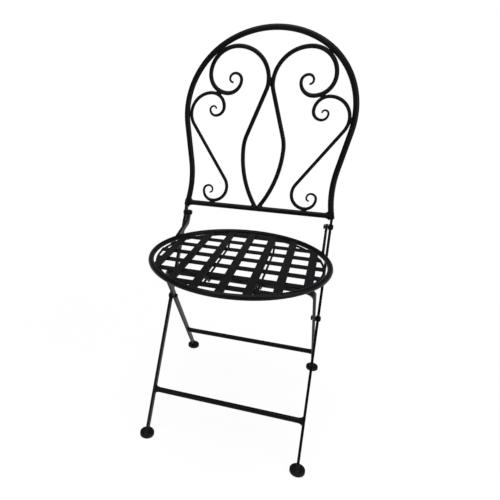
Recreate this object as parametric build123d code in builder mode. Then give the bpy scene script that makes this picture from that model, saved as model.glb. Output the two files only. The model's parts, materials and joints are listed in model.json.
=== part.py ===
from build123d import *
import math
import os

# Folding balcony chair: a scrolled steel back, a round strap seat and crossed flat-bar legs.
# Millimetres, +Z up, the chair's front towards -Y. The origin lies on the floor below the
# middle of the chair. Left and right are the sitter's, so the left side is +X.

# Steel sections
bar_wide = 14.0
bar_thick = 6.0
bar_edge_r = 0.8
hoop_bar_r = 6.75
rail_r = 6.25
lyre_r = 5.0
scroll_r = 4.0
stretcher_r = 6.25
weld_gap = 0.2
rest_gap = 0.4

# Stance, measured at the glides and the crossing of the legs
foot_spread = 396.0
rear_toe_out = 5.0
leg_pivot_z = 289.0
rear_top_z = 397.0
rear_corner_r = 30.0
front_stretcher_z = 93.7
rear_stretcher_z = 105.7

# Plastic glides
glide_r = 17.0
glide_high = 9.0
glide_dome_r = 5.0
glide_chamfer = 1.0
glide_floor = 2.0
leg_aim_z = 7.0

# Back: the rail carries the scrolls, the hoop runs round them in the leaning back plane
rail_setback = 96.2
rail_z = 496.5
back_lean = 14.9
hoop_overhang = 19.5
hoop_centre_h = 228.0
hoop_inset = 13.4
crown_spread = 30.0
hoop_tuck = 12.0
waist_r = 240.0
hoop_end_drop = 7.0
tongue_rise = 8.0
upright_bend_r = 40.0

# Lyre bars
belly_u = 47.5
belly_h = 142.0
lyre_foot_u = 5.5
shoulder_r = 94.0
neck_r = 60.0
lyre_crown_r = 79.0
lyre_loop_r = 61.0
lyre_hook_r = 46.0
lyre_curl_radii = (30.0, 16.0, 12.0, 9.0)
lyre_tip_r = 2.3
lyre_tail = 20.0

# Side scrolls
scroll_slope = 35.7
scroll_dip = 4.2
scroll_hook_r = 33.0
scroll_curl_radii = (19.5, 14.0, 8.0, 6.5)
scroll_elbow_r = 37.0
scroll_foot_r = 33.0
scroll_toe_radii = (24.0, 12.0, 10.0, 7.0)
scroll_tip_r = 1.9

# Seat
seat_z = 438.7
seat_r = 186.6
seat_setforward = 89.1
seat_tilt = 1.5
seat_bar_r = 5.75
ring_gap = 12.0
arm_inset = 18.6
inner_rod_r = 2.5
strap_wide = 17.0
strap_thick = 2.5
strap_sink = 2.75
straps_each_side = 3
strap_margin = 36.6
arm_drop = 24.0
arm_bend_r = 12.0
runner_x = 55.0
runner_r = 2.5
runner_bend_r = 12.0
runner_dip_r = 5.0
runner_dip = 15.0
runner_rear_strap = 3
runner_front_strap = -2

# Pivots
seat_pivot_drop = 25.8
pivot_gap = 3.0
bolt_r = 3.0
pivot_clearance = 0.05
head_r = 6.5
head_rim = 1.0
head_high = 3.6
washer_r = 6.5
washer_thick = 2.4
nut_r = 5.8
nut_thick = 4.5
bolt_end = 1.2

# The chair's length runs from the front of the tilted seat ring to the back of the rear glides
tilt = math.radians(seat_tilt)
seat_reach = seat_r * math.cos(tilt) + seat_bar_r + seat_setforward
feet_mid_y = (seat_reach - foot_spread / 2 - glide_r) / 2
front_foot = Vector(0, feet_mid_y - foot_spread / 2, leg_aim_z)
rear_foot = Vector(0, feet_mid_y + foot_spread / 2, leg_aim_z)
rail_y = feet_mid_y + rail_setback
seat_mid = (0, feet_mid_y - seat_setforward, seat_z)
seat_plane = Plane(seat_mid, x_dir=(1, 0, 0), z_dir=(0, math.sin(tilt), math.cos(tilt)))
inner_x = seat_r - arm_inset
front_foot_x = inner_x + bar_thick + pivot_gap
rear_foot_x = front_foot_x + rear_toe_out

# The back plane leans about the rail: local x across the chair, local y up the back
lean = math.radians(back_lean)
back_up = Vector(0, math.sin(lean), math.cos(lean))
rail_mid = Vector(0, rail_y, rail_z)
back_plane = Plane(rail_mid, x_dir=(1, 0, 0), z_dir=Vector(1, 0, 0).cross(back_up))
seat_pivot = rail_mid - back_up * seat_pivot_drop

# The front leg runs straight from its glide to the seat pivot, the rear leg through the leg pivot
front_up = (seat_pivot - front_foot).normalized()
leg_pivot = front_foot + front_up * ((leg_pivot_z - leg_aim_z) / front_up.Z)
rear_up = (leg_pivot - rear_foot).normalized()
rear_leg_length = (leg_pivot - rear_foot).length
rear_top = (rear_top_z - leg_pivot_z) / rear_up.Z
rear_splay = (rear_foot_x - inner_x) / rear_leg_length
rear_plane = Plane(leg_pivot, x_dir=(1, 0, 0), z_dir=Vector(1, 0, 0).cross(rear_up))
leg_overrun = bar_wide + glide_high

sides = {"left": 1, "right": -1}
os.makedirs("parts", exist_ok=True)


def write(part, name):
    part.label = name
    export_step(part, f"parts/{name}.step")


def round_bar(path, radius):
    with BuildPart() as bar:
        with BuildSketch(Plane(path @ 0, z_dir=path % 0)):
            Circle(radius)
        sweep(path=path)
    return bar.part


def flat_bar(path, thick_dir):
    with BuildPart() as bar:
        with BuildSketch(Plane(path @ 0, x_dir=thick_dir, z_dir=path % 0)):
            RectangleRounded(bar_thick, bar_wide, bar_edge_r)
        sweep(path=path)
    return bar.part


def pivot_hole(pivot):
    hole_r = bolt_r + pivot_clearance
    with Locations(pivot):
        Cylinder(hole_r, 2 * (rear_foot_x + bar_wide), rotation=(0, 90, 0), mode=Mode.SUBTRACT)


def across(point, half_width, radius):
    with BuildPart() as bar:
        with Locations(point):
            Cylinder(radius, 2 * half_width, rotation=(0, 90, 0))
    return bar.part


def curl(edge, radii, turn):
    for radius in radii:
        edge = JernArc(edge @ 1, edge % 1, radius, turn)
    return edge


def slim_curl(edge, radii, turn, start_r, tip_r):
    with BuildLine(back_plane) as curl_path:
        curl(edge, radii, turn)
    path = curl_path.wire()
    with BuildPart() as tip:
        for place, radius in ((0, start_r), (1, tip_r)):
            with BuildSketch(Plane(path @ place, x_dir=back_plane.z_dir, z_dir=path % place)):
                Circle(radius)
        sweep(path=path, multisection=True)
    return tip.part


# Back hoop: one round bar, bent over a flat crown and round shoulders, tucked in at the waist and
# flared to its slotted ends
shoulder_bend_r = front_foot_x + hoop_overhang - hoop_inset
crown_r = shoulder_bend_r + hoop_inset / math.sin(math.radians(crown_spread))
tuck = math.radians(hoop_tuck)
tuck_reach = shoulder_bend_r + hoop_inset * math.cos(tuck) - hoop_centre_h * math.sin(tuck) + waist_r
end_reach = front_foot_x * math.cos(tuck) + hoop_end_drop * math.sin(tuck)
flare = math.acos((tuck_reach - end_reach) / waist_r) - tuck
waist_h = waist_r * math.sin(flare) - hoop_end_drop
flank_end_h = waist_h + waist_r * math.sin(tuck)
flank_length = (hoop_centre_h - shoulder_bend_r * math.sin(tuck) - flank_end_h) / math.cos(tuck)
shoulder_turn = 90 + hoop_tuck - crown_spread
with BuildLine(back_plane) as hoop_path:
    rise = (-math.sin(flare), math.cos(flare))
    waist = JernArc((front_foot_x, -hoop_end_drop), rise, waist_r, -math.degrees(flare) - hoop_tuck)
    flank = PolarLine(waist @ 1, flank_length, direction=waist % 1)
    shoulder = JernArc(flank @ 1, flank % 1, shoulder_bend_r, shoulder_turn)
    crown = JernArc(shoulder @ 1, shoulder % 1, crown_r, 2 * crown_spread)
    shoulder = JernArc(crown @ 1, crown % 1, shoulder_bend_r, shoulder_turn)
    flank = PolarLine(shoulder @ 1, flank_length, direction=shoulder % 1)
    JernArc(flank @ 1, flank % 1, waist_r, -math.degrees(flare) - hoop_tuck)
hoop_bar = round_bar(hoop_path.wire(), hoop_bar_r)

# Front legs: flat bars from the front glides past both pivots, bent upright into the ends of the hoop
front_legs = {}
for name, side in sides.items():
    with BuildLine() as leg_path:
        leg_x = Vector(side * front_foot_x, 0, 0)
        leg_points = (front_foot - front_up * leg_overrun, seat_pivot, rail_mid + back_up * tongue_rise)
        FilletPolyline([leg_x + point for point in leg_points], radius=upright_bend_r)
    with BuildPart() as front_leg:
        add(flat_bar(leg_path.wire(), (1, 0, 0)))
        split(bisect_by=Plane.XY.offset(glide_floor))
        pivot_hole(leg_pivot)
        pivot_hole(seat_pivot)
    front_legs[name] = front_leg.part
    write(front_leg.part, f"front_leg_{name}")

with BuildPart() as back_hoop:
    add(hoop_bar)
    add(front_legs.values(), mode=Mode.SUBTRACT)
write(back_hoop.part, "back_hoop")

# Back rail: a round bar between the hoop's two sides, coped to them
waist_u = front_foot_x - waist_r * (1 - math.cos(flare))
rail_half = waist_u + waist_r - math.sqrt(waist_r ** 2 - waist_h ** 2)
with BuildPart() as back_rail:
    add(across(rail_mid, rail_half, rail_r))
    add(hoop_bar, mode=Mode.SUBTRACT)
write(back_rail.part, "back_rail")

# Lyre bars: a mirrored pair that rises from the rail, swells, meets at the neck and curls out to the
# hoop. Each is drawn out to a slim tip
neck_u = lyre_r + weld_gap / 2
loop_u = neck_u + lyre_crown_r
loop_reach = shoulder_bend_r - hoop_bar_r - lyre_r - weld_gap - lyre_loop_r
loop_h = hoop_centre_h + math.sqrt(loop_reach ** 2 - (loop_u - hoop_inset) ** 2)
neck_h = loop_h + lyre_loop_r - lyre_crown_r
hook_u = loop_u + lyre_loop_r - lyre_hook_r
foot_run = belly_u - lyre_foot_u
foot_rise = belly_h - rail_r
lyre_sweep_r = (foot_run ** 2 + foot_rise ** 2) / (2 * foot_run)
lyre_sweep = math.degrees(math.asin(foot_rise / lyre_sweep_r) + lyre_tail / lyre_sweep_r)
ogee_r = shoulder_r + neck_r
ogee_run = belly_u - neck_u
ogee_rise = neck_h - belly_h
ogee_line = math.sqrt(ogee_rise ** 2 + ogee_run ** 2 - 2 * ogee_r * ogee_run)
ogee = math.degrees(math.atan2(ogee_rise, ogee_r - ogee_run) - math.atan2(ogee_line, ogee_r))
with BuildLine(back_plane) as lyre_path:
    JernArc((belly_u, belly_h), (0, -1), lyre_sweep_r, -lyre_sweep)
    shoulder = JernArc((belly_u, belly_h), (0, 1), shoulder_r, ogee)
    run = PolarLine(shoulder @ 1, ogee_line, direction=shoulder % 1)
    neck = JernArc(run @ 1, run % 1, neck_r, -ogee)
    hook = curl(neck, (lyre_crown_r, lyre_loop_r, lyre_hook_r), -90)
with BuildPart() as lyre_bar_left:
    add(round_bar(lyre_path.wire(), lyre_r))
    add(slim_curl(hook, lyre_curl_radii, -90, lyre_r, lyre_tip_r))
    split(bisect_by=Plane.YZ.offset(weld_gap / 2))
    add(back_rail.part, mode=Mode.SUBTRACT)
    add(lyre_bar_left.solids().sort_by(SortBy.VOLUME)[:-1], mode=Mode.SUBTRACT)
write(lyre_bar_left.part, "lyre_bar_left")
with BuildPart() as lyre_bar_right:
    mirror(lyre_bar_left.part, about=Plane.YZ)
write(lyre_bar_right.part, "lyre_bar_right")

# Side scrolls: lighter bars that lean against the hoop and the lyre's curl and stand on the rail, slim at
# both tips
dip = math.radians(scroll_dip)
lift = 1 + math.sin(dip)
scroll_reach = shoulder_bend_r - hoop_bar_r - scroll_r - weld_gap
curl_u = hoop_inset + scroll_reach * math.cos(dip) - hook_u
curl_h = loop_h + scroll_hook_r - hoop_centre_h + scroll_reach * math.sin(dip)
curl_gap = lyre_hook_r + scroll_hook_r + lyre_r + scroll_r + weld_gap
half_sum = curl_u * math.cos(dip) + curl_h * lift
spare = curl_u ** 2 + curl_h ** 2 - curl_gap ** 2
scroll_top_r = (half_sum - math.sqrt(half_sum ** 2 - 2 * lift * spare)) / (2 * lift)
scroll_mid_u = hoop_inset + (scroll_reach - scroll_top_r) * math.cos(dip)
scroll_mid_h = hoop_centre_h - (scroll_reach - scroll_top_r) * math.sin(dip)
scroll_out = (scroll_mid_u + scroll_top_r, scroll_mid_h)
slope = math.radians(scroll_slope)
scroll_rest_h = rail_r + weld_gap + scroll_r + scroll_foot_r
scroll_fall = scroll_mid_h - scroll_rest_h - (scroll_top_r + scroll_elbow_r) * math.sin(slope)
with BuildLine(back_plane) as scroll_path:
    top = JernArc(scroll_out, (0, 1), scroll_top_r, 90)
    hook = curl(top, (scroll_hook_r,), 90)
    brow = JernArc(scroll_out, (0, -1), scroll_top_r, -scroll_slope)
    diagonal = PolarLine(brow @ 1, scroll_fall / math.cos(slope), direction=brow % 1)
    elbow = JernArc(diagonal @ 1, diagonal % 1, scroll_elbow_r, scroll_slope)
    foot = curl(elbow, (scroll_foot_r,), 90)
with BuildPart() as side_scroll_left:
    add(round_bar(scroll_path.wire(), scroll_r))
    add(slim_curl(hook, scroll_curl_radii, 90, scroll_r, scroll_tip_r))
    add(slim_curl(foot, scroll_toe_radii, 90, scroll_r, scroll_tip_r))
write(side_scroll_left.part, "side_scroll_left")
with BuildPart() as side_scroll_right:
    mirror(side_scroll_left.part, about=Plane.YZ)
write(side_scroll_right.part, "side_scroll_right")

# Rear leg frame: one flat bar bent to an upside-down U, with its crossbar under the seat
rear_foot_v = -rear_leg_length - leg_overrun
rear_low_x = inner_x - rear_splay * rear_foot_v
rear_top_x = inner_x - rear_splay * rear_top
with BuildLine(rear_plane) as rear_path:
    FilletPolyline(
        (rear_low_x, rear_foot_v),
        (rear_top_x, rear_top),
        (-rear_top_x, rear_top),
        (-rear_low_x, rear_foot_v),
        radius=rear_corner_r,
    )
rear_wire = rear_path.wire()
with BuildPart() as rear_leg_frame:
    add(flat_bar(rear_wire, rear_plane.z_dir.cross(rear_wire % 0)))
    split(bisect_by=Plane.XY.offset(glide_floor))
    pivot_hole(leg_pivot)
write(rear_leg_frame.part, "rear_leg_frame")

# Stretchers: round bars that tie each pair of legs together
front_stretcher_mid = front_foot + front_up * ((front_stretcher_z - leg_aim_z) / front_up.Z)
front_stretcher = across(front_stretcher_mid, front_foot_x - bar_thick / 2, stretcher_r)
write(front_stretcher, "front_stretcher")
rear_stretcher_v = (rear_stretcher_z - leg_pivot_z) / rear_up.Z
with BuildPart() as rear_stretcher:
    rear_stretcher_half = inner_x - rear_splay * rear_stretcher_v
    add(across(leg_pivot + rear_up * rear_stretcher_v, rear_stretcher_half, stretcher_r))
    add(rear_leg_frame.part, mode=Mode.SUBTRACT)
write(rear_stretcher.part, "rear_stretcher")


# Glides: low plastic pucks, each with a slanting socket for the leg's end
def glide(x, foot_y, leg):
    centre = Vector(x, foot_y, 0)
    with BuildPart() as puck:
        with BuildSketch(Plane(centre, x_dir=(1, 0, 0), z_dir=(0, -1, 0))):
            with BuildLine():
                base = Polyline((0, 0), (glide_r - glide_chamfer, 0), (glide_r, glide_chamfer))
                wall = Line(base @ 1, (glide_r, glide_high - glide_dome_r))
                dome = JernArc(wall @ 1, wall % 1, glide_dome_r, 90)
                Polyline(dome @ 1, (0, glide_high), (0, 0))
            make_face()
        revolve(axis=Axis(centre, (0, 0, 1)))
        add(leg, mode=Mode.SUBTRACT)
    return puck.part


for name, side in sides.items():
    write(glide(side * front_foot_x, front_foot.Y, front_legs[name]), f"front_glide_{name}")
    write(glide(side * rear_foot_x, rear_foot.Y, rear_leg_frame.part), f"rear_glide_{name}")


# Seat rings: the outer round bar holds the long straps' ends, the inner rod lies under the cross straps
def ring(radius, height, bar_radius):
    with BuildPart() as hoop:
        with BuildSketch(Plane(seat_plane.origin, x_dir=(1, 0, 0), z_dir=-seat_plane.y_dir)):
            with Locations((radius, height)):
                Circle(bar_radius)
        revolve(axis=Axis(seat_plane.origin, seat_plane.z_dir))
    return hoop.part


inner_ring_r = seat_r - ring_gap
strap_pitch = (seat_r - strap_margin) / straps_each_side
long_low = seat_bar_r - strap_sink - strap_thick
cross_low = long_low - strap_thick
seat_ring = ring(seat_r, 0, seat_bar_r)
write(seat_ring, "seat_ring")
write(ring(inner_ring_r, cross_low - inner_rod_r, inner_rod_r), "seat_inner_ring")

# Straps: flat strips laid front to back between the ring's sides, over strips laid across the inner rod
for index in range(-straps_each_side, straps_each_side + 1):
    number = index + straps_each_side + 1
    with BuildPart() as long_strap:
        with BuildSketch(seat_plane.offset(long_low)):
            with Locations((index * strap_pitch, 0)):
                Rectangle(strap_wide, 2 * seat_r)
            Circle(seat_r, mode=Mode.INTERSECT)
        extrude(amount=strap_thick)
        add(seat_ring, mode=Mode.SUBTRACT)
    write(long_strap.part, f"long_strap_{number}")
    with BuildPart() as cross_strap:
        with BuildSketch(seat_plane.offset(cross_low)):
            with Locations((0, index * strap_pitch)):
                Rectangle(2 * inner_ring_r, strap_wide)
            Circle(inner_ring_r, mode=Mode.INTERSECT)
        extrude(amount=strap_thick)
    write(cross_strap.part, f"cross_strap_{number}")

# Seat arms: flat bars that hang the seat ring from the seat pivots
arm_end = seat_plane.origin + seat_plane.y_dir * math.sqrt(seat_r ** 2 - inner_x ** 2)
for name, side in sides.items():
    with BuildLine() as arm_path:
        arm_x = Vector(side * inner_x, 0, 0)
        arm_points = (seat_pivot, seat_pivot - front_up * arm_drop, arm_end)
        FilletPolyline([arm_x + point for point in arm_points], radius=arm_bend_r)
    with BuildPart() as seat_arm:
        add(flat_bar(arm_path.wire(), (1, 0, 0)))
        with Locations(arm_x + seat_pivot):
            Cylinder(bar_wide / 2, bar_thick, rotation=(0, 90, 0))
        pivot_hole(seat_pivot)
        add(seat_ring, mode=Mode.SUBTRACT)
    write(seat_arm.part, f"seat_arm_{name}")

# Runners: bent rods under the straps that sit on the crossbar, with a dip that stops the legs spreading
crossbar = leg_pivot + rear_up * rear_top
rear_across = Vector(0, rear_up.Z, -rear_up.Y)
crossbar_top = crossbar + rear_across * (bar_wide / 2) + rear_up * (bar_thick / 2)
rest = seat_plane.to_local_coords(crossbar_top)
runner_low = rest.Z + runner_r + 2 * rest_gap
dip_start = rest.Y - rest_gap
dip_run = runner_dip * rear_across.Y / rear_across.Z
rear_end = runner_rear_strap * strap_pitch
front_end = runner_front_strap * strap_pitch
runner_plane = Plane(seat_plane.origin, x_dir=seat_plane.y_dir, z_dir=(1, 0, 0))
for name, side in sides.items():
    with BuildLine(runner_plane.offset(side * runner_x)) as runner_path:
        FilletPolyline(
            (rear_end, cross_low),
            (rear_end, runner_low),
            (dip_start, runner_low),
            (dip_start - dip_run, runner_low - runner_dip),
            (dip_start - 2 * dip_run, runner_low),
            (front_end, runner_low),
            (front_end, cross_low),
            radius=(runner_bend_r, runner_dip_r, runner_dip_r, runner_dip_r, runner_bend_r),
        )
    write(round_bar(runner_path.wire(), runner_r), f"seat_runner_{name}")


# Pivot hardware: a domed bolt from outside, a washer between the bars and a nut inside, on both sides
outer_face = front_foot_x + bar_thick / 2
washer_face = front_foot_x - bar_thick / 2 - washer_thick
nut_face = inner_x - bar_thick / 2 - rest_gap - nut_thick
bolt_tip = nut_face - bolt_end
dome_high = head_high - head_rim
dome_r = (head_r ** 2 + dome_high ** 2) / (2 * dome_high)
shank_outline = ((bolt_tip, 0), (bolt_tip, bolt_r), (outer_face, bolt_r), (outer_face, head_r))
for pivot_name, pivot in {"leg": leg_pivot, "seat": seat_pivot}.items():
    with BuildPart() as bolts:
        with BuildSketch(Plane(pivot, x_dir=(1, 0, 0), z_dir=(0, -1, 0))):
            with BuildLine():
                shank = Polyline(*shank_outline)
                rim = Line(shank @ 1, (outer_face + head_rim, head_r))
                dome = RadiusArc(rim @ 1, (outer_face + head_high, 0), dome_r)
                Line(dome @ 1, shank @ 0)
            make_face()
        revolve(axis=Axis(pivot, (1, 0, 0)))
        mirror(about=Plane.YZ)
    write(bolts.part, f"{pivot_name}_pivot_bolts")
    with BuildPart() as washers:
        with BuildSketch(Plane((washer_face, pivot.Y, pivot.Z), z_dir=(1, 0, 0))):
            Circle(washer_r)
            Circle(bolt_r + pivot_clearance, mode=Mode.SUBTRACT)
        extrude(amount=washer_thick)
        mirror(about=Plane.YZ)
    write(washers.part, f"{pivot_name}_pivot_washers")
    with BuildPart() as nuts:
        with BuildSketch(Plane((nut_face, pivot.Y, pivot.Z), z_dir=(1, 0, 0))):
            RegularPolygon(nut_r, 6)
            Circle(bolt_r + pivot_clearance, mode=Mode.SUBTRACT)
        extrude(amount=nut_thick)
        mirror(about=Plane.YZ)
    write(nuts.part, f"{pivot_name}_pivot_nuts")
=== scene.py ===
import json
import math

import bmesh
import bpy
from mathutils import Matrix, Vector


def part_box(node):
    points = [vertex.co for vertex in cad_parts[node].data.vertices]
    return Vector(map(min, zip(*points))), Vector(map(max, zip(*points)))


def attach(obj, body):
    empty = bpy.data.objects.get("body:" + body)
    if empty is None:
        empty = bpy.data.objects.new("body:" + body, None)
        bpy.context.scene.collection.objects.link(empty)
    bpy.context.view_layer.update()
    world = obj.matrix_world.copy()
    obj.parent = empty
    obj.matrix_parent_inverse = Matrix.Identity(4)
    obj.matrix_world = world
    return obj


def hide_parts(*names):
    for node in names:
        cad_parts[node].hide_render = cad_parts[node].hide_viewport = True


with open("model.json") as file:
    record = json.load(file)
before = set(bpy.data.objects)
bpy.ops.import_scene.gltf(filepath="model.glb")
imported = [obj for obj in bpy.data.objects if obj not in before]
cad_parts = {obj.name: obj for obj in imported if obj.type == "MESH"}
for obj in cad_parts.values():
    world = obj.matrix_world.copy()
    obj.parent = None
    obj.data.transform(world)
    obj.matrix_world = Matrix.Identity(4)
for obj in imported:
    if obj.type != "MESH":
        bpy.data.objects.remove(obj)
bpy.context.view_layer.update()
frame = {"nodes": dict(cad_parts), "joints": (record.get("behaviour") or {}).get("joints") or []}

# Back hoop, rail, scrolls and legs
# Round and flat steel bars, bent cold, welded together and powder coated in satin black. The coat
# has a fine orange peel, its gloss wavers along each bar and a little grey dust lies on it.


class Shade:
    """A node socket that plain arithmetic can use."""

    def __init__(self, tree, socket=None):
        self.tree = tree
        self.socket = socket

    def node(self, kind, settings, inputs, output=0):
        """Adds any other node: its settings first, then its values and links."""
        made = self.tree.nodes.new(kind)
        for name, value in settings.items():
            setattr(made, name, value)
        for name, value in inputs.items():
            if isinstance(value, Shade):
                self.tree.links.new(value.socket, made.inputs[name])
            else:
                made.inputs[name].default_value = value
        return Shade(self.tree, made.outputs[output])

    def maths(self, operation, first, second):
        return self.node("ShaderNodeMath", {"operation": operation}, {0: first, 1: second})

    def __add__(self, other):
        return self.maths("ADD", self, other)

    def __radd__(self, other):
        return self.maths("ADD", other, self)

    def __sub__(self, other):
        return self.maths("SUBTRACT", self, other)

    def __rsub__(self, other):
        return self.maths("SUBTRACT", other, self)

    def __mul__(self, other):
        return self.maths("MULTIPLY", self, other)

    def __rmul__(self, other):
        return self.maths("MULTIPLY", other, self)

    def step(self, low, high):
        """Climbs smoothly from 0 at low to 1 at high."""
        ramp = {"interpolation_type": "SMOOTHSTEP"}
        return self.node("ShaderNodeMapRange", ramp, {"Value": self, "From Min": low, "From Max": high})

    def noise(self, scale, detail):
        return self.node("ShaderNodeTexNoise", {}, {"Vector": self, "Scale": scale, "Detail": detail})

    def blend(self, first, second):
        """The first colour where this is 0, the second where it is 1."""
        colour_a, colour_b, colour_out = 6, 7, 2
        inputs = {"Factor": self, colour_a: (*first, 1.0), colour_b: (*second, 1.0)}
        return self.node("ShaderNodeMix", {"data_type": "RGBA"}, inputs, colour_out)

    def bump(self, depth, strength):
        return self.node("ShaderNodeBump", {}, {"Height": self, "Distance": depth, "Strength": strength})


def surface(name, specular, looks):
    """A material whose colour, roughness and normal follow from its object's own coordinates."""
    made = bpy.data.materials.new(name)
    made.use_nodes = True
    tree = made.node_tree
    shader = tree.nodes["Principled BSDF"]
    shader.inputs["Specular IOR Level"].default_value = specular
    place = Shade(tree).node("ShaderNodeTexCoord", {}, {}, "Object")
    for socket, value in zip(("Base Color", "Roughness", "Normal"), looks(place)):
        tree.links.new(value.socket, shader.inputs[socket])
    return made


def powder_coat(name, black, dust_and_sheen):
    """Satin black coat: orange peel, fine grain, wavering gloss and a faint dusty haze, whose colour on
    the seat also holds a painted sky sheen.
    """
    specular, satin, satin_drift, satin_grain = 0.09, 0.33, 0.1, 0.08
    drift_scale, drift_detail, drift_edges, drift_haze = 24.0, 4.0, (0.45, 0.8), 0.5
    grain_scale, grain_detail, grain_edges, grain_haze = 2600.0, 2.0, (0.5, 0.8), 0.2
    peel_scale, peel_detail, peel_share = 620.0, 1.0, 0.8
    peel_depth, peel_strength = 0.00006, 0.12

    def looks(place):
        drift = place.noise(drift_scale, drift_detail)
        grain = place.noise(grain_scale, grain_detail)
        peel = place.noise(peel_scale, peel_detail)
        haze = drift.step(*drift_edges) * drift_haze + grain.step(*grain_edges) * grain_haze
        gloss = satin + drift * satin_drift + grain * satin_grain
        relief = peel * peel_share + grain * (1.0 - peel_share)
        # The haze colour is dust, and for the seat it is also a painted sky sheen.
        return haze.blend(black, dust_and_sheen), gloss, relief.bump(peel_depth, peel_strength)

    return surface(name, specular, looks)


def paint(names, coat):
    for name in names:
        slots = frame["nodes"][name].data.materials
        slots.clear()
        slots.append(coat)


sides = {"left": 1, "right": -1}
frame_black, frame_dust = (0.0014, 0.0014, 0.0015), (0.0045, 0.0045, 0.0047)
frame_coat = powder_coat("frame_coat", frame_black, frame_dust)
paint(["back_hoop", "back_rail", "front_stretcher", "rear_leg_frame", "rear_stretcher"], frame_coat)
paint([f"{bar}_{side}" for bar in ("lyre_bar", "side_scroll", "front_leg") for side in sides], frame_coat)

# Back welds
# Short runs of weld hold the scrolls to each other, to the hoop and to the rail, on both faces of the
# back, and a ring of weld closes the lyre's foot. They were laid by hand and coated with the bars.
hoop_bar_r, rail_r, lyre_r, scroll_r = 0.00675, 0.00625, 0.005, 0.004
back_lean = math.radians(14.9)
back_up = Vector((0.0, math.sin(back_lean), math.cos(back_lean)))
back_out = Vector((0.0, -math.cos(back_lean), math.sin(back_lean)))


def box_corners(node):
    low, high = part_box(node)
    return Vector(low), Vector(high)


def box_middle(node):
    low, high = box_corners(node)
    return (low + high) / 2


rail_mid = box_middle("back_rail")


def on_back(u, h, n=0.0):
    """A point of the back: u across from its middle, h up from the rail, n out to the front."""
    return rail_mid + Vector((u, 0.0, 0.0)) + back_up * h + back_out * n


def spread(first, last, count):
    """Evenly spaced values from first to last."""
    return [first + (last - first) * step / (count - 1) for step in range(count)]


def full_turn(steps):
    """Evenly spaced angles, once round."""
    return [2.0 * math.pi * step / steps for step in range(steps)]


def skin(rows, ring_sides, start, closed=False):
    """Quads between rows of points, each row a ring. The last row meets the first, or both get a lid."""
    faces = []
    for row in range(rows if closed else rows - 1):
        here, there = start + row * ring_sides, start + (row + 1) % rows * ring_sides
        for step in range(ring_sides):
            after = (step + 1) % ring_sides
            faces.append((here + step, here + after, there + after, there + step))
    if not closed:
        last = start + (rows - 1) * ring_sides
        faces.append(tuple(range(start + ring_sides - 1, start - 1, -1)))
        faces.append(tuple(range(last, last + ring_sides)))
    return faces


def make_piece(name, vertices, faces, body, coat, crease=50.0):
    """A piece that rides its body. Edges that turn by more than crease degrees stay sharp."""
    mesh = bpy.data.meshes.new(name)
    mesh.from_pydata(vertices, [], faces)
    shell = bmesh.new()
    shell.from_mesh(mesh)
    bmesh.ops.recalc_face_normals(shell, faces=shell.faces)
    shell.to_mesh(mesh)
    shell.free()
    mesh.shade_smooth()
    mesh.set_sharp_from_angle(angle=math.radians(crease))
    mesh.materials.append(coat)
    piece = bpy.data.objects.new(name, mesh)
    bpy.context.scene.collection.objects.link(piece)
    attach(piece, body)
    return piece


def weld(name, body, coat, routes, bead_r):
    """One mesh of rippled beads. A route is its points and a direction that no stretch of it follows."""
    ring_sides, ripple, ripple_step = 10, 0.14, 2.3
    end_power, end_least = 4, 0.04
    vertices, faces = [], []
    for points, across in routes:
        closed = (points[0] - points[-1]).length < bead_r
        points = points[:-1] if closed else points
        count = len(points)
        faces += skin(count, ring_sides, len(vertices), closed)
        for index, point in enumerate(points):
            before = points[index - 1] if closed or index else point
            after = points[(index + 1) % count] if closed or index < count - 1 else point
            along = (after - before).normalized()
            side = along.cross(across).normalized()
            rise = side.cross(along)
            from_middle = 0.0 if closed else 2.0 * index / (count - 1) - 1.0
            swell = 1.0 + ripple * math.sin(index * ripple_step)
            r = bead_r * swell * math.sqrt(max(end_least, 1.0 - from_middle ** end_power))
            for turn in full_turn(ring_sides):
                vertices.append(point + (side * math.cos(turn) + rise * math.sin(turn)) * r)
    make_piece(name, vertices, faces, body, coat)


seam_r, seam_length, neck_length = 0.0017, 0.013, 0.02


def seam(u, h, slant, first_r, second_r, length):
    """Two beads, front and back, in the groove where two bars touch at (u, h)."""
    steps, sink = 9, 0.82
    shift = seam_r * (first_r - second_r) / (first_r + second_r)
    depth = sink * math.sqrt((first_r + seam_r) ** 2 - (first_r + shift) ** 2)
    run_u, run_h = math.cos(math.radians(slant)), math.sin(math.radians(slant))
    routes = []
    for face in (-1, 1):
        places = spread(-length / 2, length / 2, steps)
        points = [on_back(u + far * run_u, h + far * run_h, face * depth) for far in places]
        routes.append((points, back_out))
    return routes


# Where two bars touch: across from the middle, up from the rail, and the groove's slant from upright
lyre_on_hoop = (0.1265, 0.3632, 50.0)
scroll_on_hoop = (0.1892, 0.2151, -4.2)
scroll_on_lyre = (0.1215, 0.2666, -63.9)
scroll_on_rail_u, lyre_neck_h = 0.1117, 0.2945
flat_slant, upright_slant = 0.0, 90.0
touches = (
    (lyre_on_hoop, hoop_bar_r, lyre_r),
    (scroll_on_hoop, hoop_bar_r, scroll_r),
    (scroll_on_lyre, lyre_r, scroll_r),
)
routes = seam(0.0, lyre_neck_h, upright_slant, lyre_r, lyre_r, neck_length)
for sign in sides.values():
    for (u, h, slant), first_r, second_r in touches:
        routes += seam(sign * u, h, upright_slant + sign * slant, first_r, second_r, seam_length)
    routes += seam(sign * scroll_on_rail_u, rail_r, flat_slant, scroll_r, rail_r, seam_length)
foot_steps, foot_long, foot_wide, foot_proud = 28, 0.0125, 0.0052, 0.0006
foot_ring = []
for turn in full_turn(foot_steps):
    n = foot_wide * math.sin(turn)
    foot_ring.append(on_back(foot_long * math.cos(turn), math.sqrt(rail_r ** 2 - n ** 2) + foot_proud, n))
routes.append((foot_ring + foot_ring[:1], back_up))
weld("back_welds", "back_frame", frame_coat, routes, seam_r)

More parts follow.
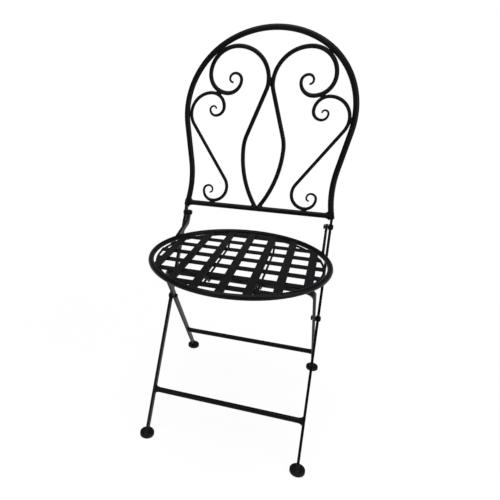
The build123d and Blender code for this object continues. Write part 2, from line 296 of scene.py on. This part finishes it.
# Rail-end welds
# A heaped, hollow-faced fillet of weld runs round each end of the rail. It climbs along the hoop that
# the end meets, and hardly widens across it.
hoop_u, hoop_slope = 0.1753, 0.232
fillet_long, fillet_rise, fillet_side = 0.0105, 0.007, 0.0007


def fillet(root, inward, along, bar_r):
    """Rings round a bar's end, from the face it meets to the bare bar."""
    ring_sides, rows, bite = 32, 8, 0.0008
    ripple, ripple_step = 0.035, 2.6
    across = inward.cross(along).normalized()
    vertices = []
    for row in range(rows + 1):
        part = row / rows
        swell = 1.0 - math.sqrt(1.0 - (1.0 - part) ** 2)
        centre = root + inward * (part * (fillet_long + bite) - bite)
        for step, turn in enumerate(full_turn(ring_sides)):
            wave = 1.0 + ripple * swell * math.sin(step * ripple_step + row)
            a = (bar_r + fillet_rise * swell) * wave * math.cos(turn)
            b = (bar_r + fillet_side * swell) * wave * math.sin(turn)
            vertices.append(centre + along * a + across * b)
    return vertices, skin(rows + 1, ring_sides, 0)


def fillets(name, body, places):
    vertices, faces = [], []
    for place in places:
        points, quads = fillet(*place)
        faces += [tuple(corner + len(vertices) for corner in quad) for quad in quads]
        vertices += points
    make_piece(name, vertices, faces, body, frame_coat)


places = []
for sign in sides.values():
    hoop_along = (back_up - Vector((sign * hoop_slope, 0.0, 0.0))).normalized()
    rail_end = on_back(sign * (hoop_u - hoop_bar_r), 0.0)
    places.append((rail_end, Vector((-sign, 0.0, 0.0)), hoop_along, rail_r))
fillets("rail_end_welds", "back_frame", places)

# Hoop-end welds
# The front leg's end stands in a slot in the hoop's end. On both faces of the leg a narrow bead of weld
# runs down one side of the slot, round the hoop's cut end and up the other side.
bar_thick, front_leg_x = 0.006, 0.177
hoop_end_drop, bead_top = 0.007, 0.0075
end_bead_r, end_steps = 0.001, 9
end_bead_proud = end_bead_r / 3


def hoop_end_route(sign, face):
    """Heights above the rail and places out of the back, along the hoop's edge on one face of the leg."""
    face_u = front_leg_x + face * bar_thick / 2
    cut_h = face * bar_thick / 2 * hoop_slope - hoop_end_drop
    edge = []
    for h in spread(bead_top, cut_h + end_bead_r, end_steps):
        off_axis = (face_u - hoop_u + hoop_slope * h) * math.cos(math.atan(hoop_slope))
        edge.append((h, math.sqrt(hoop_bar_r ** 2 - off_axis ** 2) + end_bead_proud))
    corner_n = edge[-1][1] - end_bead_r
    bottom = [(cut_h - end_bead_proud, n) for n in spread(corner_n, -corner_n, end_steps)]
    route = edge + bottom + [(h, -n) for h, n in reversed(edge)]
    bead_u = sign * (face_u + face * end_bead_proud)
    return [on_back(bead_u, h, n) for h, n in route], Vector((1.0, 0.0, 0.0))


routes = [hoop_end_route(sign, face) for sign in sides.values() for face in (-1, 1)]
weld("hoop_end_welds", "back_frame", frame_coat, routes, end_bead_r)

# Stretcher welds
# The front and rear stretchers are round bars set between the flat legs. The same hollow fillets of weld
# hold their ends, and climb along the legs.
stretcher_r, rear_leg_x, leg_aim_z = 0.00625, 0.168, 0.007
leg_pivot = next(Vector(joint["pos_m"]) for joint in frame["joints"] if joint["name"] == "leg_fold")
leg_pairs = (("front", "back_frame", front_leg_x), ("rear", "rear_legs", rear_leg_x))


def leg_line(glide, leg_x):
    """A leg's foot and the direction in which it runs up to the leg pivot."""
    middle = box_middle(glide)
    foot = Vector((middle.x, middle.y, leg_aim_z))
    top = Vector((math.copysign(leg_x, foot.x), leg_pivot.y, leg_pivot.z))
    return foot, (top - foot).normalized()


for pair, body, leg_x in leg_pairs:
    low, high = box_corners(f"{pair}_stretcher")
    middle = (low + high) / 2
    places = []
    for side, sign in sides.items():
        along = leg_line(f"{pair}_glide_{side}", leg_x)[1]
        root = Vector((sign * high.x, middle.y, middle.z))
        places.append((root, Vector((-sign, 0.0, 0.0)), along, stretcher_r))
    fillets(f"{pair}_stretcher_welds", body, places)

# Glides
# Round feet moulded in black plastic, pushed on to the legs' ends. Each is a puck with a parting line, a
# rounded shoulder and a short neck that grips the bar. The floor has scuffed its lowest edge grey.
bar_wide = 0.014
puck_r, puck_high, shoulder_r = 0.0169, 0.009, 0.0028
base_mid_r, base_chamfer, edge_in, edge_up = 0.0005, 0.001, 0.0003, 0.0004
part_line_z, part_line_half, part_line_deep = 0.0042, 0.0003, 0.00025
neck_high, neck_wall, neck_flare, neck_squareness = 0.009, 0.0012, 0.0022, 0.35
glide_black, glide_scuff = (0.0022, 0.0022, 0.0022), (0.02, 0.02, 0.019)


def moulded_plastic(name, black, scuff):
    """Matt plastic with a fine moulded grain, scuffed in patches close to the floor."""
    specular, matt, matt_grain = 0.14, 0.5, 0.15
    grain_scale, grain_detail, grain_depth, grain_strength = 1800.0, 3.0, 0.0001, 0.25
    patch_scale, patch_detail, patch_edges = 60.0, 3.0, (0.35, 0.7)
    scuff_high, scuff_share = 0.004, 0.6

    def looks(place):
        height = place.node("ShaderNodeSeparateXYZ", {}, {"Vector": place}, "Z")
        patches = place.noise(patch_scale, patch_detail).step(*patch_edges)
        worn = (1.0 - height.step(0.0, scuff_high)) * patches * scuff_share
        grain = place.noise(grain_scale, grain_detail)
        gloss = matt + grain * matt_grain
        return worn.blend(black, scuff), gloss, grain.bump(grain_depth, grain_strength)

    return surface(name, specular, looks)


def puck_profile():
    """Radii and heights from the middle of the base, over the parting line, to the top of the shoulder."""
    shoulder_steps = 6
    rows = [(base_mid_r, 0.0), (puck_r - base_chamfer, 0.0), (puck_r - edge_in, edge_up)]
    rows += [(puck_r, base_chamfer), (puck_r, part_line_z - part_line_half)]
    rows += [(puck_r - part_line_deep, part_line_z), (puck_r, part_line_z + part_line_half)]
    for turn in spread(0.0, math.pi / 2, shoulder_steps):
        inset, drop = shoulder_r * (1.0 - math.cos(turn)), shoulder_r * (1.0 - math.sin(turn))
        rows.append((puck_r - inset, puck_high - drop))
    return rows


def neck_profile():
    """Distances along the leg above the puck, and how far the sleeve stands off the bar there."""
    flare_steps, lip_steps = 7, 5
    rows = []
    for turn in spread(0.0, math.pi / 2, flare_steps):
        flare = neck_flare * (1.0 - math.sin(turn))
        rows.append((neck_flare * (1.0 - math.cos(turn)), neck_wall + flare))
    for turn in spread(0.0, math.pi / 2, lip_steps):
        rows.append((neck_high - neck_wall * (1.0 - math.sin(turn)), neck_wall * math.cos(turn)))
    return rows


def moulded_glide(pair, side, body, leg_x):
    """One closed shell: the puck, and on it a neck that follows the leaning leg."""
    ring_sides = 64
    node = f"{pair}_glide_{side}"
    foot, along = leg_line(node, leg_x)
    wide = along.cross(Vector((1.0, 0.0, 0.0))).normalized()
    thick = wide.cross(along)
    puck, neck = puck_profile(), neck_profile()
    vertices = []
    for radius, z in puck:
        centre = Vector((foot.x, foot.y, z))
        for turn in full_turn(ring_sides):
            vertices.append(centre + Vector((math.cos(turn), math.sin(turn), 0.0)) * radius)
    neck_foot = foot + along * ((puck_high - leg_aim_z) / along.z)
    for far, wall in neck:
        flatness = 1.0 - far / neck_high
        for turn in full_turn(ring_sides):
            c, s = math.cos(turn), math.sin(turn)
            a = math.copysign(abs(c) ** neck_squareness, c) * (bar_thick / 2 + wall)
            b = math.copysign(abs(s) ** neck_squareness, s) * (bar_wide / 2 + wall)
            out = thick * a + wide * b
            vertices.append(neck_foot + out + along * (far - flatness * out.z / along.z))
    faces = skin(len(puck) + len(neck), ring_sides, 0)
    name = f"{pair}_moulded_glide_{side}"
    piece = make_piece(name, vertices, faces, body, glide_plastic)
    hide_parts(node)


glide_plastic = moulded_plastic("glide_plastic", glide_black, glide_scuff)
for pair, body, leg_x in leg_pairs:
    for side in sides:
        moulded_glide(pair, side, body, leg_x)

# Seat
# A round-bar ring with flat strips laid both ways inside it, on a thin inner rod, hung on two flat arms.
# The same coat as the frame with its dust, both a shade bluer and lighter here: a painted sheen of the
# sky, which the strips face.
strap_numbers = range(1, 8)
# Painted sky sheen: both seat colours are bluer and lighter than the frame's, as light off the sky would
# make them.
seat_black_with_sky_sheen, seat_dust_and_sky_sheen = (0.0023, 0.0023, 0.0032), (0.0065, 0.0065, 0.0085)
seat_coat = powder_coat("seat_coat", seat_black_with_sky_sheen, seat_dust_and_sky_sheen)
paint(["seat_ring", "seat_inner_ring"], seat_coat)
paint([f"{bar}_{side}" for bar in ("seat_arm", "seat_runner") for side in sides], seat_coat)
paint([f"{way}_strap_{number}" for way in ("long", "cross") for number in strap_numbers], seat_coat)

# Seat welds
# A run of weld holds each end of each long strap to the ring, two hold each arm to the ring, and a small
# ring of weld holds each end of a runner rod to the strap above it. All are coated with the seat.
seat_tilt = math.radians(1.5)
seat_back = Vector((0.0, math.cos(seat_tilt), -math.sin(seat_tilt)))
seat_up = Vector((0.0, math.sin(seat_tilt), math.cos(seat_tilt)))
ring_bar_r, runner_r = 0.00575, 0.0025
strap_top, strap_wide, strap_thick = 0.003, 0.017, 0.0025
seat_mid = box_middle("seat_ring")
seat_r = box_corners("seat_ring")[1].x - ring_bar_r


def on_seat(x, y, z):
    """A point of the seat: x across, y back from its middle, z above the ring's centre line."""
    return seat_mid + Vector((x, 0.0, 0.0)) + seat_back * y + seat_up * z


seat_bead_r, bead_steps, bead_share = 0.0011, 9, 0.9
strap_bead_half = bead_share * strap_wide / 2
strap_end_r = seat_r - math.sqrt(ring_bar_r ** 2 - strap_top ** 2)
routes = []
for number in strap_numbers:
    strap_x = box_middle(f"long_strap_{number}").x
    for end in (-1, 1):
        across = spread(strap_x - strap_bead_half, strap_x + strap_bead_half, bead_steps)
        points = [on_seat(x, end * math.sqrt(strap_end_r ** 2 - x ** 2), strap_top) for x in across]
        routes.append((points, seat_up))
arm_bead_off, arm_bead_wrap = 0.0004, math.radians(110.0)
arm_reach = ring_bar_r * seat_r / math.sqrt(seat_r ** 2 - rear_leg_x ** 2)
for sign in sides.values():
    for face in (-1, 1):
        x = sign * rear_leg_x + face * (bar_thick / 2 + arm_bead_off)
        ring_y = math.sqrt(seat_r ** 2 - x ** 2)
        points = []
        for turn in spread(-arm_bead_wrap / 2, arm_bead_wrap / 2, bead_steps):
            points.append(on_seat(x, ring_y + arm_reach * math.cos(turn), ring_bar_r * math.sin(turn)))
        routes.append((points, Vector((1.0, 0.0, 0.0))))
runner_straps, runner_ring_steps = (2, 7), 16
runner_ring_r = runner_r + seat_bead_r / 3
for side in sides:
    for number in runner_straps:
        root = box_middle(f"cross_strap_{number}") - seat_up * (strap_thick / 2)
        root.x = box_middle(f"seat_runner_{side}").x
        ring = []
        for turn in full_turn(runner_ring_steps):
            outward = Vector((math.cos(turn), 0.0, 0.0)) + seat_back * math.sin(turn)
            ring.append(root + outward * runner_ring_r)
        routes.append((ring + ring[:1], seat_up))
weld("seat_welds", "seat", seat_coat, routes, seat_bead_r)

# Pivots
# At each pivot a domed steel bolt goes through both bars and the washer between them, and a thin
# chamfered nut holds it inside, almost flush with the bolt's tip. All are coated black with the frame.
hardware_black, hardware_dust = (0.0016, 0.0016, 0.0016), (0.005, 0.005, 0.005)
hardware_coat = powder_coat("hardware_coat", hardware_black, hardware_dust)
hardware_sides, hardware_crease = 48, 25.0
bolt_r, bolt_tip_reach, bolt_tip_chamfer = 0.003, 0.0006, 0.0007
head_r, head_edge, head_rim, head_high = 0.0065, 0.0004, 0.001, 0.0036
nut_flat_r, nut_face_r, nut_bore_r = 0.005, 0.0047, 0.00305
nut_thick, nut_play, nut_chamfer = 0.0032, 0.0004, math.radians(30.0)
nut_flat_turn = math.radians(60.0)
bolt_seat = front_leg_x + bar_thick / 2
nut_seat = rear_leg_x - bar_thick / 2 - nut_play
nut_inner = nut_seat - nut_thick


def even_ring(x, r):
    return [(x, r)] * hardware_sides


def bolt_rings():
    """The bolt from its tip to the top of its dome: places across the chair, and the radii there."""
    dome_steps = 9
    tip = nut_inner - bolt_tip_reach
    rings = [even_ring(tip, bolt_r - bolt_tip_chamfer), even_ring(tip + bolt_tip_chamfer, bolt_r)]
    rings += [even_ring(bolt_seat, bolt_r), even_ring(bolt_seat, head_r - head_edge)]
    rings.append(even_ring(bolt_seat + head_edge, head_r))
    for step in range(dome_steps):
        turn = math.pi / 2 * step / dome_steps
        rise = (head_high - head_rim) * math.sin(turn)
        rings.append(even_ring(bolt_seat + head_rim + rise, head_r * math.cos(turn)))
    return rings


def nut_rings():
    """The nut from its bore over both chamfered faces and back: places across the chair, and radii."""
    inner_edge, outer_edge = [], []
    for turn in full_turn(hardware_sides):
        off_flat = (turn + nut_flat_turn / 2) % nut_flat_turn - nut_flat_turn / 2
        r = nut_flat_r / math.cos(off_flat)
        cut = (r - nut_face_r) * math.tan(nut_chamfer)
        inner_edge.append((nut_inner + cut, r))
        outer_edge.append((nut_seat - cut, r))
    inner_face = [even_ring(nut_inner, nut_bore_r), even_ring(nut_inner, nut_face_r)]
    outer_face = [even_ring(nut_seat, nut_face_r), even_ring(nut_seat, nut_bore_r)]
    return [*inner_face, inner_edge, outer_edge, *outer_face]


def hardware(name, node, pivot, rings, closed):
    """The same piece at both sides of the chair, turned about the pivot."""
    vertices, faces = [], []
    for sign in sides.values():
        faces += skin(len(rings), hardware_sides, len(vertices), closed)
        for ring in rings:
            for turn, (x, r) in zip(full_turn(hardware_sides), ring):
                vertices.append((sign * x, pivot.y + r * math.sin(turn), pivot.z + r * math.cos(turn)))
    piece = make_piece(name, vertices, faces, "back_frame", hardware_coat, hardware_crease)
    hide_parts(node)


for joint in frame["joints"]:
    pair = joint["name"].split("_")[0]
    pivot = Vector(joint["pos_m"])
    hardware(f"{pair}_pivot_domed_bolts", f"{pair}_pivot_bolts", pivot, bolt_rings(), closed=False)
    hardware(f"{pair}_pivot_thin_nuts", f"{pair}_pivot_nuts", pivot, nut_rings(), closed=True)
    paint([f"{pair}_pivot_washers"], hardware_coat)

# Floor
# A plain white studio floor, matt and level. The camera and reflections see it white, and near the
# chair a little of its lit surface comes through, which keeps a faint shadow under the feet.
floor_half, floor_rough, floor_white = 6.0, 0.9, (0.95, 0.95, 0.95, 1.0)
near_glow, near_edges, pure_white = 0.94, (0.5, 1.3), (1.0, 1.0, 1.0, 1.0)
floor_mesh = bpy.data.meshes.new("floor")
floor_corners = [(x * floor_half, y * floor_half, 0.0) for x, y in ((-1, -1), (1, -1), (1, 1), (-1, 1))]
floor_mesh.from_pydata(floor_corners, [], [(0, 1, 2, 3)])
floor = bpy.data.objects.new("floor", floor_mesh)
bpy.context.scene.collection.objects.link(floor)
floor_paint = bpy.data.materials.new("floor_paint")
floor_paint.use_nodes = True
floor_tree = floor_paint.node_tree
floor_shader = floor_tree.nodes["Principled BSDF"]
floor_shader.inputs["Base Color"].default_value = floor_white
floor_shader.inputs["Roughness"].default_value = floor_rough
lit = Shade(floor_tree, floor_shader.outputs[0])
rays = ("Is Camera Ray", "Is Glossy Ray", "Is Transmission Ray")
camera_ray, glossy_ray, through_ray = (lit.node("ShaderNodeLightPath", {}, {}, ray) for ray in rays)
seen = camera_ray + glossy_ray + through_ray
glow = lit.node("ShaderNodeEmission", {}, {"Color": pure_white, "Strength": 1.0})
place = lit.node("ShaderNodeTexCoord", {}, {}, "Object")
far = lit.node("ShaderNodeVectorMath", {"operation": "LENGTH"}, {0: place}, "Value").step(*near_edges)
white = seen * (near_glow + far * (1.0 - near_glow))
floor_look = lit.node("ShaderNodeMixShader", {}, {0: white, 1: lit, 2: glow})
floor_tree.links.new(floor_look.socket, floor_tree.nodes["Material Output"].inputs["Surface"])
floor_mesh.materials.append(floor_paint)

# Studio light
# A dim room with a low white backdrop behind the chair, a broad soft light overhead, one from the right
# and a small weak one low in front on the left. The camera sees white all round.
room_level, backdrop_edges, backdrop_top = 0.15, (0.0, 0.3), 0.2
chair_middle = Vector((0.0, 0.0, 0.45))
world = bpy.data.worlds.new("studio")
bpy.context.scene.world = world
world.use_nodes = True
room = world.node_tree.nodes["Background"]
room.inputs["Color"].default_value = pure_white
sky = Shade(world.node_tree)
camera_ray, glossy_ray, through_ray = (sky.node("ShaderNodeLightPath", {}, {}, ray) for ray in rays)
heading = sky.node("ShaderNodeTexCoord", {}, {}, "Generated")
behind = sky.node("ShaderNodeSeparateXYZ", {}, {"Vector": heading}, "Y").step(*backdrop_edges)
low_down = 1.0 - sky.node("ShaderNodeSeparateXYZ", {}, {"Vector": heading}, "Z").step(0.0, backdrop_top)
white = camera_ray + (glossy_ray + through_ray) * behind * low_down
strength = room_level + white * (1.0 - room_level)
world.node_tree.links.new(strength.socket, room.inputs["Strength"])


def soft_light(name, place, size, power):
    """A square lamp that faces the chair."""
    lamp = bpy.data.lights.new(name, "AREA")
    lamp.size = size
    lamp.energy = power
    light = bpy.data.objects.new(name, lamp)
    light.location = place
    light.rotation_euler = (chair_middle - Vector(place)).to_track_quat("-Z", "Y").to_euler()
    bpy.context.scene.collection.objects.link(light)


soft_light("top_light", place=(0.0, -0.3, 3.2), size=2.4, power=90.0)
soft_light("right_light", place=(2.2, -0.8, 1.6), size=1.6, power=36.0)
soft_light("front_light", place=(-0.95, -2.4, 0.85), size=0.7, power=14.0)

# Camera
# It stands in front of the chair, a little towards its left side and above the seat, as in the
# photograph, tipped by less than a degree.
azimuth, elevation, roll = math.radians(17.48), math.radians(23.49), math.radians(0.73)
aim, distance = Vector((-0.0884, -0.1371, 0.4485)), 0.9216
flat = math.cos(elevation)
backward = Vector((math.sin(azimuth) * flat, -math.cos(azimuth) * flat, math.sin(elevation)))
level = Vector((0.0, 0.0, 1.0)).cross(backward).normalized()
upright = backward.cross(level)
right = level * math.cos(roll) + upright * math.sin(roll)
up = upright * math.cos(roll) - level * math.sin(roll)
lens = bpy.data.cameras.new("camera")
lens.sensor_width = 36.0
lens.lens = 32.93
lens.shift_x = 0.124
lens.shift_y = 0.0265
lens.clip_start = 0.05
camera = bpy.data.objects.new("camera", lens)
turned = Matrix((right, up, backward)).transposed().to_4x4()
camera.matrix_world = Matrix.Translation(aim + backward * distance) @ turned
bpy.context.scene.collection.objects.link(camera)
bpy.context.scene.camera = camera
bpy.context.scene.view_settings.view_transform = "Standard"
